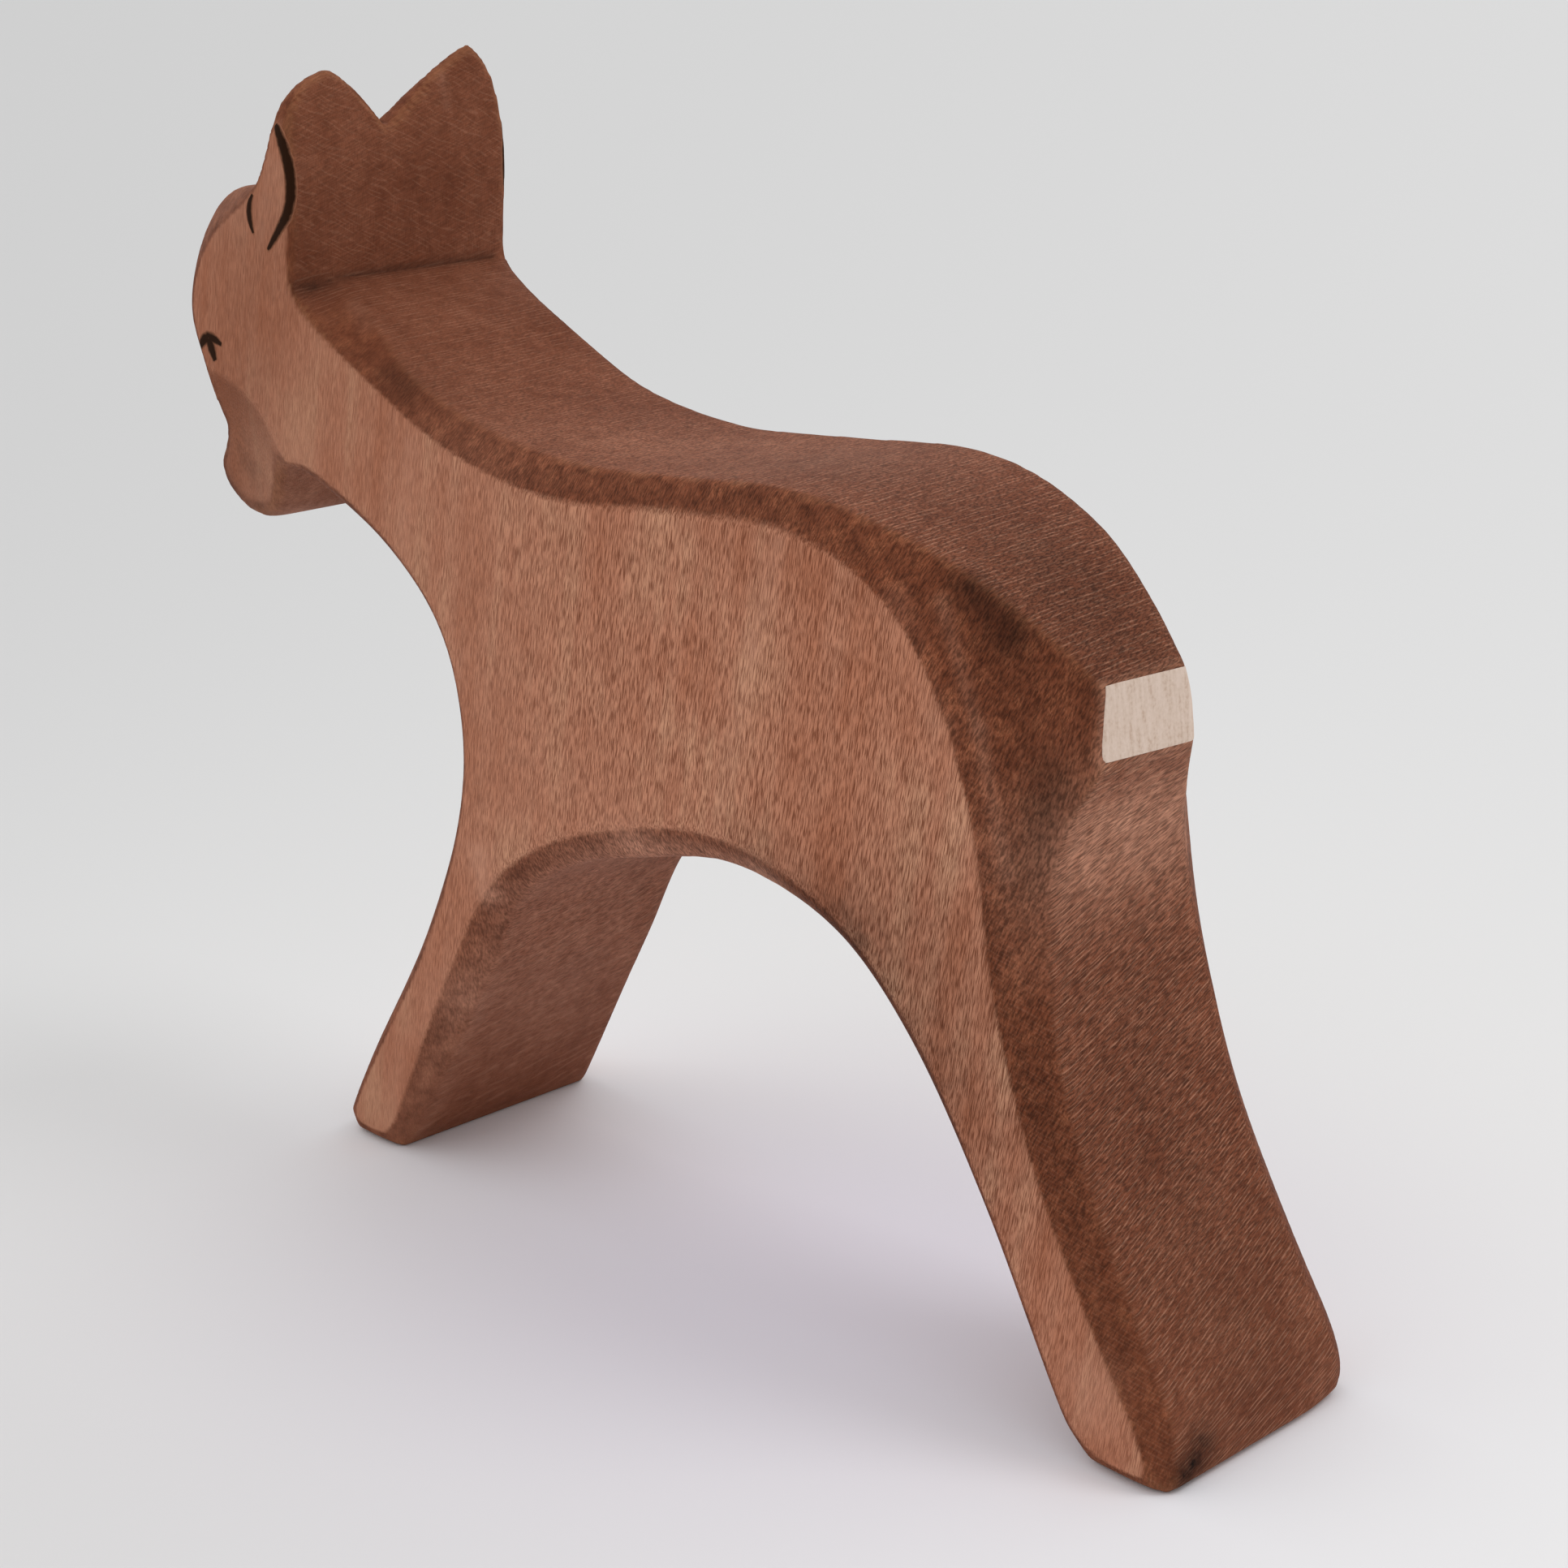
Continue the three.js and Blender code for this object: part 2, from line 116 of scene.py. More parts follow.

# Where the stain took little or was rubbed off again, and where painted light lightens the wood: start and
# end of a stretch, reach and strength
PALE_STAIN_AND_LIGHT = [
    # Streaks and spots on the planed side
    ((-25.8, -12.5, 68.2), (-27.3, -12.5, 58.0), 1.0, 0.2),
    ((19.0, -12.5, 66.6), (15.9, -12.5, 57.7), 1.1, 0.18),
    ((15.9, -12.5, 57.7), (11.8, -12.5, 42.0), 1.1, 0.15),
    ((-18.1, -12.5, 32.1), (-17.3, -12.4, 29.3), 1.6, 0.4),
    ((51.7, -12.5, 7.5), (52.2, -12.5, 5.0), 2.2, 0.25),
    ((-20.0, -12.5, 62.0), (-20.0, -12.5, 45.0), 10.0, 0.12),
    # Painted highlight along the ridge between two knife cuts on the rump, and scratches on the neck
    # and the ears
    ((33.7, -10.3, 64.4), (38.4, -11.2, 55.5), 0.6, 0.12),
    ((38.4, -11.2, 55.5), (41.2, -10.9, 44.7), 0.6, 0.15),
    ((30.5, -11.8, 64.0), (35.5, -12.0, 55.5), 1.2, 0.1),
    ((35.5, -12.0, 55.5), (38.8, -12.0, 45.0), 1.2, 0.1),
    ((-37.9, -8.6, 78.3), (-35.0, -9.4, 76.6), 0.8, 0.1),
    ((-41.7, 5.4, 97.0), (-41.4, 5.6, 94.4), 0.5, 0.15),
    # Painted light from the pale floor on the inside and knife cut of the arch and under the jaw, paler
    # back, ear and forehead, and a painted sheen in the hollow below the patch
    ((-18.0, 0.0, 16.0), (-6.0, 0.0, 34.0), 13.0, 0.25),
    ((-48.0, -8.0, 58.0), (-44.0, -8.0, 62.0), 6.0, 0.36),
    ((-31.5, -11.5, 2.0), (-22.5, -11.0, 17.5), 2.8, 0.15),
    ((-22.5, -11.0, 17.5), (-14.0, -10.5, 27.0), 2.8, 0.15),
    ((-12.0, -10.5, 29.0), (1.0, -10.5, 38.5), 2.4, 0.25),
    ((1.0, -10.5, 38.5), (16.0, -10.5, 38.5), 2.4, 0.32),
    ((16.0, -10.5, 38.5), (30.0, -10.5, 27.0), 2.4, 0.35),
    ((-8.0, 0.0, 66.0), (14.0, 0.0, 70.0), 9.0, 0.1),
    ((-43.3, -12.5, 90.0), (-45.3, -12.5, 84.5), 1.6, 0.18),
    ((-55.0, -11.0, 84.5), (-50.0, -11.0, 87.3), 3.0, 0.2),
    ((44.2, -4.0, 46.0), (44.2, 6.0, 46.0), 5.5, 0.48),
    ((41.5, -10.5, 47.0), (42.5, -9.5, 38.0), 3.0, 0.06),
    # Thin edge round the patch, where its wet paint lifted the stain
    ((45.7, -5.2, 52.7), (45.7, 6.1, 52.7), 0.6, 0.22),
    ((45.0, -4.6, 58.9), (45.0, 5.8, 58.9), 0.6, 0.22),
    ((45.6, -5.6, 53.4), (45.0, -4.6, 58.9), 0.6, 0.22),
    ((45.6, 6.5, 53.4), (45.0, 5.9, 58.9), 0.6, 0.22),
]

# Where the stain gathered, and painted shade, in the same form
DEEP_STAIN_AND_SHADE = [
    # Blots on the knife cuts and in the corners, and painted shade on a knife-cut facet of the neck
    # and in the crease behind the ears
    ((35.2, -8.8, 65.3), (38.4, -8.2, 62.3), 1.6, 0.5),
    ((42.3, -9.4, 44.6), (43.0, -8.0, 52.0), 2.0, 0.3),
    ((38.5, -8.8, 60.0), (42.3, -8.5, 50.0), 2.6, 0.14),
    ((-27.0, -11.2, 72.5), (-29.7, -11.3, 73.6), 1.3, 0.35),
    ((58.9, -9.3, 1.4), (58.8, -7.6, 2.3), 1.8, 0.75),
    ((-41.3, -11.6, 79.5), (-41.2, -9.0, 79.5), 1.1, 0.25),
    ((-41.5, -12.2, 79.9), (-41.75, 11.0, 80.4), 0.5, 0.25),
    # Broad zones: thigh, head, top of the rump, hind legs, loin, neck and chin
    ((33.0, -12.5, 36.0), (38.0, -12.5, 24.0), 9.0, 0.25),
    ((16.0, -12.5, 40.5), (26.0, -12.5, 37.0), 3.5, 0.24),
    ((26.0, -12.5, 37.0), (35.0, -12.5, 27.0), 3.0, 0.15),
    ((-50.0, -12.5, 70.0), (-46.0, -12.5, 84.0), 7.0, 0.12),
    ((40.0, 0.0, 66.0), (44.0, 0.0, 61.0), 7.0, 0.32),
    ((46.0, 0.0, 32.0), (56.0, 0.0, 6.0), 8.0, 0.18),
    ((44.1, -11.2, 30.0), (54.1, -11.4, 9.5), 2.0, 0.12),
    ((14.0, 0.0, 70.0), (32.0, 0.0, 68.0), 9.0, 0.19),
    ((-34.0, -9.5, 79.0), (-24.0, -9.5, 73.0), 4.0, 0.05),
    ((-56.0, -10.0, 61.0), (-53.0, -10.5, 63.0), 4.2, 0.28),
    ((-49.3, -10.7, 61.6), (-51.0, -10.4, 58.5), 2.0, 0.14),
]

# Painted strokes on the left side, mirrored to the right: place on the wood, half width of the brush
# mark, and lean of the brush towards the rump (1 where the mark wraps the corner of the ear)
EAR_LINE = [
    (-43.1, -12.4, 93.95, 0.34, 0.0),
    (-42.5, -12.5, 93.3, 0.62, 0.0),
    (-41.85, -12.5, 91.9, 0.8, 0.3),
    (-41.4, -12.35, 89.9, 0.8, 1.0),
    (-41.4, -12.35, 87.8, 0.8, 1.0),
    (-41.9, -12.5, 86.2, 0.7, 0.5),
    (-42.75, -12.5, 85.1, 0.58, 0.0),
    (-43.9, -12.5, 83.8, 0.44, 0.0),
    (-44.85, -12.5, 82.8, 0.2, 0.0),
]
EAR_FRONT_LINE = [
    (-46.7, -12.5, 87.6, 0.2, 0.0),
    (-47.15, -12.5, 86.8, 0.42, 0.0),
    (-47.3, -12.5, 85.9, 0.5, 0.0),
    (-47.15, -12.5, 85.0, 0.42, 0.0),
    (-46.8, -12.5, 84.1, 0.18, 0.0),
]
EYE_LID = [
    (-55.95, -12.45, 72.9, 0.4, 0.0),
    (-55.35, -12.5, 73.6, 0.62, 0.0),
    (-54.45, -12.5, 73.95, 0.66, 0.0),
    (-53.5, -12.5, 73.85, 0.52, 0.0),
    (-52.5, -12.5, 73.5, 0.24, 0.0),
]
EYE_PUPIL = [
    (-54.5, -12.5, 73.9, 0.6, 0.0),
    (-54.15, -12.5, 73.0, 0.72, 0.0),
    (-53.65, -12.5, 71.9, 0.42, 0.0),
]
MARKS = {"ear_line": [EAR_LINE], "ear_front_line": [EAR_FRONT_LINE], "eye": [EYE_LID, EYE_PUPIL]}

# Rump patch: middle of the brush mark from its lower to its upper end, and half width
RUMP_PATCH = [
    (45.7, 0.42, 52.95, 5.6),
    (45.6, 0.45, 53.6, 5.9),
    (45.3, 0.53, 55.6, 5.6),
    (45.0, 0.65, 58.7, 5.1),
]

# Paint: height over the wood and depth of its root, in mm, and the share of a mark's half length over
# which it thins out at each end
PAINT_LIFT = 0.05
PAINT_ROOT = 0.06
PAINT_END = 0.06

# Brush marks: rows along a mark, rows across it, and how square its section is (2 gives half an ellipse)
STROKE_SAMPLES = 70
STROKE_BREADTH, STROKE_FULLNESS = 15, 2
PATCH_BREADTH, PATCH_FULLNESS = 81, 12


def linear(hex_colour):
    """An sRGB hex colour as linear RGBA."""
    parts = [int(hex_colour[i:i + 2], 16) / 255 for i in (1, 3, 5)]
    return [c / 12.92 if c <= 0.04045 else ((c + 0.055) / 1.055) ** 2.4 for c in parts] + [1.0]


def smooth_step(low, high, values):
    """Cubic blend from 0 at low to 1 at high."""
    t = np.clip((values - low) / (high - low), 0, 1)
    return t * t * (3 - 2 * t)


def add(tree, kind, inputs=(), stops=(), **settings):
    """Adds one node with its settings, colour stops and inputs.

    An input is a value, a socket to link, or a node whose first result is linked.
    """
    made = tree.nodes.new(kind)
    for name, value in settings.items():
        setattr(made, name, value)
    for index, (place, colour) in enumerate(stops):
        ramp = made.color_ramp.elements
        stop = ramp[index] if index < 2 else ramp.new(place)
        stop.position = place
        stop.color = linear(colour)
    for name, value in dict(inputs).items():
        if isinstance(value, bpy.types.Node):
            value = next(result for result in value.outputs if result.enabled)
        if isinstance(value, bpy.types.NodeSocket):
            tree.links.new(value, made.inputs[name])
        else:
            made.inputs[name].default_value = value
    return made


def new_material(name):
    """An empty node material, as (material, node tree)."""
    material = bpy.data.materials.new(name)
    material.use_nodes = True
    material.node_tree.nodes.clear()
    return material, material.node_tree


def new_object(name, data):
    """An object in the scene with the given data."""
    made = bpy.data.objects.new(name, data)
    bpy.context.scene.collection.objects.link(made)
    return made


def apply_modifiers(piece):
    """Bakes a piece's modifiers into its mesh."""
    graph = bpy.context.evaluated_depsgraph_get()
    mesh = bpy.data.meshes.new_from_object(piece.evaluated_get(graph))
    old = piece.data
    piece.modifiers.clear()
    piece.data = mesh
    mesh.name = old.name
    bpy.data.meshes.remove(old)


def vertex_array(mesh, field="co"):
    """Places or normals of the vertices, one row each."""
    values = np.empty(len(mesh.vertices) * 3)
    mesh.vertices.foreach_get(field, values)
    return values.reshape(-1, 3)


def move(mesh, places):
    """Puts the vertices at new places."""
    mesh.vertices.foreach_set("co", places.ravel())
    mesh.update()


def store(mesh, name, values):
    """Keeps one number for each vertex, for the materials to read."""
    kept = mesh.attributes.new(name, "FLOAT", "POINT")
    kept.data.foreach_set("value", values.astype(np.float32).ravel())


# Carved body

def merged_copy(node_name, name):
    """A new object with a copy of a CAD node's mesh, its loose triangles merged."""
    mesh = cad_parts[node_name].data.copy()
    mesh.name = name
    mesh.materials.clear()
    shape = bmesh.new()
    shape.from_mesh(mesh)
    bmesh.ops.remove_doubles(shape, verts=shape.verts, dist=MERGE_DISTANCE * MM)
    shape.to_mesh(mesh)
    shape.free()
    return new_object(name, mesh)


def neighbour_mean(mesh):
    """A function that gives, for an array with a row for each vertex, the mean row of its neighbours."""
    edges = np.empty(len(mesh.edges) * 2, np.int64)
    mesh.edges.foreach_get("vertices", edges)
    start, end = edges.reshape(-1, 2).T
    count = np.bincount(edges, minlength=len(mesh.vertices))

    def mean(rows):
        size = len(rows)
        columns = [
            (np.bincount(start, column[end], size) + np.bincount(end, column[start], size)) / count
            for column in rows.T
        ]
        return np.stack(columns, axis=1)
    return mean


def bend(mesh, mean):
    """How far the neighbours' mean lies outside (hollow, +) or inside (ridge, -) each vertex, in mm."""
    inward = (mean(vertex_array(mesh)) - vertex_array(mesh)) * vertex_array(mesh, "normal")
    return inward.sum(axis=1, keepdims=True) / MM


def nearness(places, start, end, reach):
    """Bell curve of the distance from a stretch between two places: 1 on it, 1/e at its reach."""
    start, end = np.array(start), np.array(end)
    run = end - start
    along = np.clip((places - start) @ run / max(run @ run, 1e-9), 0, 1)
    gap = places - start - along[:, None] * run
    return np.exp(-(gap ** 2).sum(axis=1) / reach ** 2)


def stain_and_light_zones(places, stretches):
    """How strongly each place lies in stretches of stain, painted light and shade: the sum of their bell
    curves.
    """
    return sum(strength * nearness(places, *stretch) for *stretch, strength in stretches)


def share_rising(share, zone, values):
    """A share of full up to the start of a zone, rising to full at its end."""
    return share + (1 - share) * smooth_step(*zone, values)


def sand(mesh, mean, keep):
    """Rounds the arrises and lets the chin swell.

    Each round moves a vertex a share of the way to its neighbours' mean, apart from the kept hollows.
    The chin then moves out along its normals by the swell times a bell curve of the distance from it.
    """
    places = vertex_array(mesh)
    x, _, z = (places / MM).T
    muzzle = smooth_step(*MUZZLE_ALONG, x) * smooth_step(*MUZZLE_UP, z)
    ear_tip = smooth_step(*EAR_TIP_UP, z)
    arch = smooth_step(*ARCH_UP, z) * smooth_step(*ARCH_FRONT, x) * smooth_step(*ARCH_BACK, x)
    heel = nearness(places / MM, HEEL_INNER, HEEL_OUTER, HEEL_REACH)
    zones = [
        (SANDING_ROUNDS, np.ones_like(x)), (MUZZLE_ROUNDS, muzzle), (EAR_TIP_ROUNDS, ear_tip),
        (ARCH_ROUNDS, arch), (HEEL_ROUNDS, heel),
    ]
    for rounds, where in zones:
        share = SANDING_STRENGTH * where[:, None] * (1 - keep)
        for _ in range(rounds):
            places = places + share * (mean(places) - places)
    move(mesh, places)
    chin = nearness(places / MM, CHIN_LEFT, CHIN_RIGHT, CHIN_REACH)[:, None]
    move(mesh, places + CHIN_SWELL * MM * chin * vertex_array(mesh, "normal"))


def carved_body():
    """The CAD body with even skin and sanded arrises, and numbers for its working and painted light and
    shade.
    """
    body = merged_copy("carved_body", "deer_body")
    even = body.modifiers.new("even_skin", "REMESH")
    even.mode = "SHARP"
    even.octree_depth = SKIN_OCTREE_DEPTH
    even.scale = SKIN_SCALE
    even.use_remove_disconnected = False
    apply_modifiers(body)
    mesh = body.data
    mesh.polygons.foreach_set("use_smooth", np.ones(len(mesh.polygons), bool))
    mesh.update()

    mean = neighbour_mean(mesh)
    bent = bend(mesh, mean)
    hollow = smooth_step(*HOLLOW_BEND, mean(mean(bent)))
    ridge = smooth_step(*RIDGE_BEND, -mean(bent))
    sand(mesh, mean, np.clip(HOLLOW_SPARED * mean(hollow), 0, 1))

    places = vertex_array(mesh) / MM
    x, _, z = places.T
    facing_x, facing_y, facing_z = vertex_array(mesh, "normal").T
    across = np.abs(facing_y)
    cut = 1 - smooth_step(*PLANED_FACING, across)
    sawn = 1 - smooth_step(*SAWN_FACING, across)
    behind = smooth_step(*HIND_LEG_ALONG, x)
    hind_leg = sawn * behind * smooth_step(*HIND_LEG_UP, z)
    ear_back = sawn * smooth_step(*EAR_BACK_ALONG, x) * smooth_step(*EAR_BACK_FACING, facing_x)
    ear_back = ear_back * smooth_step(*EAR_BACK_UP, z)
    saw_lines = share_rising(SAW_LINES_AT_HEAD, SAW_LINES_ALONG, x)
    saw_lines = saw_lines * smooth_step(*SAW_LINES_FACING, facing_x + facing_z)
    torn = share_rising(TORN_AT_HEAD, TORN_ALONG, x) * share_rising(TORN_AT_FEET, TORN_UP, z)
    numbers = {
        "knife_cut": cut,
        "sawn": sawn,
        "hollow": hollow,
        "ridge": np.maximum(ridge, smooth_step(SOLE_ARRIS, 0, z)[:, None]),
        "pale": stain_and_light_zones(places, PALE_STAIN_AND_LIGHT),
        "deep": stain_and_light_zones(places, DEEP_STAIN_AND_SHADE),
        "torn": torn,
        "saw_lines": (sawn - hind_leg - ear_back) * saw_lines,
        "hind_leg_fibres": hind_leg,
        "knife_lines": (cut - sawn) * behind * smooth_step(*KNIFE_LINES_UP, z),
        "ear_fibres": ear_back,
    }
    for name, values in numbers.items():
        store(mesh, name, values)
    return body


# Painted marks

def smooth_path(points, count):
    """Rows of a Catmull-Rom curve through the given rows."""
    t = np.linspace(0, len(points) - 1, count)
    i = np.minimum(t.astype(int), len(points) - 2)
    s = (t - i)[:, None]
    a, b, c, d = (points[np.clip(i + k, 0, len(points) - 1)] for k in (-1, 0, 1, 2))
    return b + 0.5 * s * (c - a + s * (2 * a - 5 * b + 4 * c - d + s * (3 * (b - c) + d - a)))


def grid_faces(rows, columns):
    """Quads of a grid whose vertices are numbered row by row."""
    index = np.arange(rows * columns).reshape(rows, columns)
    corners = [index[:-1, :-1], index[1:, :-1], index[1:, 1:], index[:-1, 1:]]
    return np.stack(corners, axis=-1).reshape(-1, 4)


def on_skin(places, skin):
    """The nearest places on the skin to a grid of places."""
    mesh = bpy.data.meshes.new("brush_guide")
    mesh.from_pydata(places.reshape(-1, 3), [], grid_faces(*places.shape[:2]))
    guide = new_object("brush_guide", mesh)
    guide.modifiers.new("on_skin", "SHRINKWRAP").target = skin
    apply_modifiers(guide)
    found = vertex_array(guide.data).reshape(places.shape)
    mesh = guide.data
    bpy.data.objects.remove(guide)
    bpy.data.meshes.remove(mesh)
    return found


def brush_mark(spots, outward, fullness, breadth, skin):
    """One brush mark as closed rings of places and its cover, from rows of (x, y, z, half width) in mm.

    A straight bristle line is carried along the path and pressed onto the skin. Over it the paint rises
    by the lift times the fullness-th root of (1 - |v| to the fullness), with v from -1 to 1 across the
    mark, and it is rooted a little below the skin.
    """
    rows = smooth_path(np.array(spots), STROKE_SAMPLES)
    leans = smooth_path(np.array(outward, float), STROKE_SAMPLES)
    v = np.linspace(-1, 1, breadth)
    along = np.gradient(rows[:, :3], axis=0)
    across = np.cross(leans, along)
    across /= np.linalg.norm(across, axis=1, keepdims=True)
    line = rows[:, None, :3] + across[:, None] * (rows[:, 3:] * v)[..., None]
    wood = on_skin(line * MM, skin)
    out = np.cross(np.gradient(wood, axis=0), np.gradient(wood, axis=1))
    out *= np.sign((out * leans[:, None]).sum(axis=-1, keepdims=True))
    out /= np.linalg.norm(out, axis=-1, keepdims=True)
    lift = PAINT_LIFT * (1 - np.abs(v) ** fullness) ** (1 / fullness)
    top = wood + out * lift[:, None] * MM
    root = wood - out * PAINT_ROOT * MM
    rings = np.concatenate([top, root[:, ::-1]], axis=1)
    ends = smooth_step(0, PAINT_END, 1 - np.abs(np.linspace(-1, 1, STROKE_SAMPLES)))
    cover = ends[:, None] * (1 - np.abs(v) ** fullness)
    return rings, np.concatenate([cover, np.zeros_like(cover)], axis=1)


def painted(name, marks):
    """One piece of paint from its brush marks, each a closed ring carried along its path."""
    places, faces, cover, first = [], [], [], 0
    for rings, mark_cover in marks:
        rows, around = rings.shape[:2]
        index = first + np.arange(rows * around).reshape(rows, around)
        following = np.roll(index, -1, axis=1)
        walls = np.stack([index[:-1], index[1:], following[1:], following[:-1]], axis=-1).reshape(-1, 4)
        faces += walls.tolist() + [index[0].tolist(), index[-1, ::-1].tolist()]
        places.append(rings.reshape(-1, 3))
        cover.append(mark_cover.ravel())
        first += rows * around
    mesh = bpy.data.meshes.new(name)
    mesh.from_pydata(np.concatenate(places), [], faces)
    shape = bmesh.new()
    shape.from_mesh(mesh)
    bmesh.ops.recalc_face_normals(shape, faces=shape.faces)
    shape.to_mesh(mesh)
    shape.free()
    mesh.polygons.foreach_set("use_smooth", np.ones(len(mesh.polygons), bool))
    store(mesh, "cover", np.concatenate(cover))
    return new_object(name, mesh)


def side_mark(stroke, side, skin):
    """A stroke of the list on the left (-1) or the right (+1) side."""
    points = np.array(stroke)
    spots = points[:, :4] * (1, -side, 1, 1)
    outward = np.stack([points[:, 4], np.full(len(points), side), np.zeros(len(points))], axis=1)
    return brush_mark(spots, outward, STROKE_FULLNESS, STROKE_BREADTH, skin)


def dress(piece, material, node):
    """Gives a piece its material and lets it stand in for its CAD node."""
    piece.data.materials.append(material)
    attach(piece, "root")
    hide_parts(node)


# Finishes

# Patterns in the wood: turns in degrees about X, Y and Z, size of a form along each axis in mm, and
# detail and roughness of the noise. Strands and torn ends are drawn a little coarser than they are, so
# that they show
WOOD_PATTERNS = {
    "growth_layers": ((0, 10, 0), (3, 16, 60), 3, 0.5),
    "broad_blotches": ((0, 0, 0), (9, 9, 9), 3, 0.5),
    "fine_blotches": ((0, 0, 0), (1.6, 1.6, 1.6), 4, 0.65),
    "strands": ((-3, 9, 0), (0.072, 0.072, 2), 1, 0.6),
    "torn_by_saw": ((18, 0, 0), (0.12, 1.1, 0.12), 1, 0.5),
    "torn_by_knife": ((0, 12, 0), (0.12, 0.6, 0.6), 2, 0.5),
}

# Noise at which a strand starts and is full, pores to a strand's size, and distance from a pore's middle,
# in pores, at which it starts and is full
STRAND_FROM, STRAND_FULL = 0.37, 0.56
PORES_TO_STRAND = 0.45
PORE_FROM, PORE_FULL = 0.35, 0.1

# Shade between the strands where the wood is smooth
SMOOTH_SHADE = 0.5

# Grit on the cuts: noise at which it is darkest and palest, and share of the light that it takes or gives
GRIT_DARKEST, GRIT_PALEST = 0.36, 0.64
GRIT_DEPTH = 0.42

# Noise is about 0.5, and this makes it about 1
NOISE_TO_ONE = 2

# Raised pale fibres on the cuts: zone, turn of the edge that they lie across, tilt, spacing and wander
# of the fibres, their length, noise above which they show, and strength
RAISED_FIBRES = [
    ("saw_lines", -45, 4, 0.34, 7, 3, 0.42, 0.55),
    ("hind_leg_fibres", 0, 18, 0.28, 7, 2.4, 0.41, 0.5),
    ("knife_lines", 22, -20, 0.3, 6, 1.5, 0.38, 0.1),
    ("ear_fibres", 0, -25, 0.45, 10, 1.6, 0.43, 0.16),
]

# Scale that makes a wave one spacing long, height at which its crest starts and is full, dashes to a
# fibre's length, and noise over which a dash fades in
WAVE_SCALE = math.pi / 10
CREST_FROM, CREST_FULL = 0.55, 0.95
DASHES_TO_LENGTH = 1.3
DASH_FADE = 0.16

# Colours of the planed side, the knife cuts and the sawn edge, from where the stain soaked in to where it
# stayed thin, and shares of the second of two patterns in the first and the last
SIDE_COLOURS = [(0.34, "#BC795B"), (0.5, "#CA8B6E"), (0.66, "#D8A080")]
KNIFE_COLOURS = [(0.3, "#582F1F"), (0.5, "#77442F"), (0.7, "#93593E")]
EDGE_COLOURS = [(0.33, "#6E3F2D"), (0.5, "#83503B"), (0.67, "#966049")]
SIDE_BLOTCHES = 0.45
EDGE_BLOTCHES = 0.5

# Paint: ink from its thin edge to its full body, glaze from the grain that shows through to its body, size
# of the ink's blotches, of the strands under the glaze and of its specks in mm, and shares of them
INK_COLOURS = [(0.25, "#A06A50"), (1.0, "#2C180C")]
GLAZE_COLOURS = [(0.36, "#CBB09D"), (0.45, "#D9C2B1"), (0.6, "#E2CCBD")]
INK_BLOTCH = 0.5
INK_BLOTCH_SHARE = 0.5
GLAZE_STRANDS = (0.45, 0.45, 6)
GLAZE_SPECK = 0.3
GLAZE_SPECK_SHARE = 0.4

# Depth of the relief in mm, and how many times as high as a strand a raised fibre stands
WOOD_RELIEF = 0.06
GLAZE_RELIEF = 0.03
RAISED_HEIGHT = 2


def in_mm(tree):
    """The place on the piece, in mm."""
    place = add(tree, "ShaderNodeTexCoord").outputs["Object"]
    return add(tree, "ShaderNodeVectorMath", {0: place, "Scale": 1 / MM}, operation="SCALE")


def raised_fibres(tree, mm):
    """Where pale fibres stand up: crests of wavering lines, broken into dashes by noise, in their zones."""
    lines = 0
    for zone, turn, tilt, spacing, wander, length, threshold, strength in RAISED_FIBRES:
        run = add(tree, "ShaderNodeMapping", {
            "Vector": mm, "Rotation": (math.radians(tilt), math.radians(turn), 0),
            "Scale": (length, length, spacing)}, vector_type="TEXTURE")
        wave = add(tree, "ShaderNodeTexWave", {
            "Vector": run, "Scale": WAVE_SCALE, "Distortion": wander, "Detail": 1, "Detail Scale": 1,
        }, bands_direction="Z").outputs["Fac"]
        crest = add(tree, "ShaderNodeMapRange", {
            "Value": wave, "From Min": CREST_FROM, "From Max": CREST_FULL})
        noise = add(tree, "ShaderNodeTexNoise", {"Vector": run, "Scale": DASHES_TO_LENGTH, "Detail": 1})
        dash = add(tree, "ShaderNodeMapRange", {
            "Value": noise, "From Min": threshold, "From Max": threshold + DASH_FADE, "To Max": strength})
        line = add(tree, "ShaderNodeMath", {0: crest, 1: dash}, operation="MULTIPLY")
        mask = add(tree, "ShaderNodeAttribute", attribute_name=zone).outputs["Fac"]
        lines = add(tree, "ShaderNodeMath", {0: line, 1: mask, 2: lines}, operation="MULTIPLY_ADD")
    return lines


